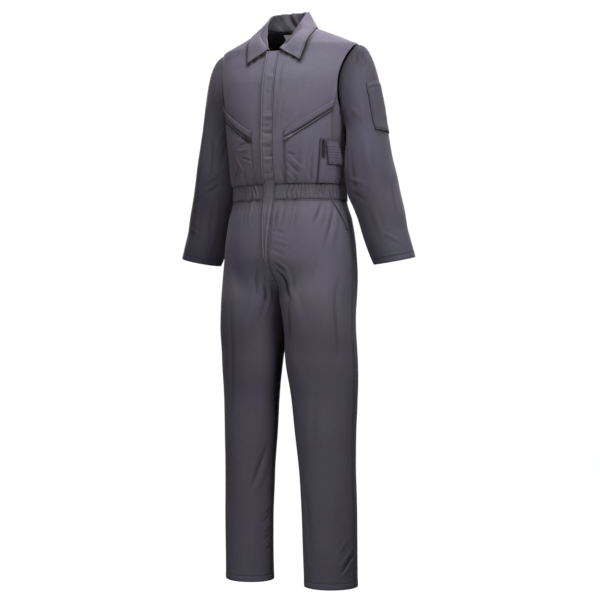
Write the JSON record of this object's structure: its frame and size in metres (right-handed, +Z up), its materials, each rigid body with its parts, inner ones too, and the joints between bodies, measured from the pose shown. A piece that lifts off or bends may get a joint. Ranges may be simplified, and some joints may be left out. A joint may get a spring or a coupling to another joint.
{
  "type": "boiler suit",
  "caption": "Zip-front boiler suit in its worn, hollow form: turned-down collar, storm flap, slanted zip chest pockets, elastic waistband and straight legs.",
  "frame": {"origin": "inside the neck opening, on the centre line at the height of the neck seam, where the wearer's shoulders carry the garment", "axes": "+Z up, -Y the garment's front, +X the wearer's left; the garment hangs down from the origin"},
  "size_m": [0.722, 0.2628, 1.5919],
  "materials": {
    "cloth": "dark grey polyester and cotton twill, matt with a slight sheen",
    "band": "the same twill, gathered on elastic",
    "tape": "dark woven zip tape",
    "metal": "bright nickel",
    "tab": "smooth white woven tab"
  },
  "bodies": {
    "suit": {"front_left": "cloth", "front_right": "cloth", "back": "cloth", "sleeve_front_left": "cloth", "sleeve_front_right": "cloth", "sleeve_back_left": "cloth", "sleeve_back_right": "cloth", "waistband_left": "band", "waistband_right": "band", "waistband_back": "band", "leg_front_left": "cloth", "leg_front_right": "cloth", "leg_back_left": "cloth", "leg_back_right": "cloth", "collar": "cloth", "storm_flap": "cloth", "chest_welt_left": "cloth", "chest_welt_right": "cloth", "zip_tape_left": "tape", "zip_tape_right": "tape", "chest_pocket_left": "cloth", "chest_pocket_right": "cloth", "phone_pocket": "cloth", "phone_flap": "cloth", "strap_loop": "cloth", "sleeve_pocket": "cloth", "side_pocket_left": "cloth", "side_pocket_right": "cloth", "neck_tab": "tab", "zip_slider_left": "metal", "zip_slider_right": "metal"},
    "pull_left": {"zip_pull_left": "metal"},
    "pull_right": {"zip_pull_right": "metal"}
  },
  "joints": [
    {"name": "pull_left_swing", "type": "hinge", "parent": "suit", "child": "pull_left", "pos_m": [0.05691, -0.13039, -0.30628], "axis": [0.4657, 0.095, -0.8798], "range_deg": [0, 165]},
    {"name": "pull_right_swing", "type": "hinge", "parent": "suit", "child": "pull_right", "pos_m": [-0.05691, -0.13039, -0.30628], "axis": [0.4657, -0.095, 0.8798], "range_deg": [0, 165]}
  ]
}
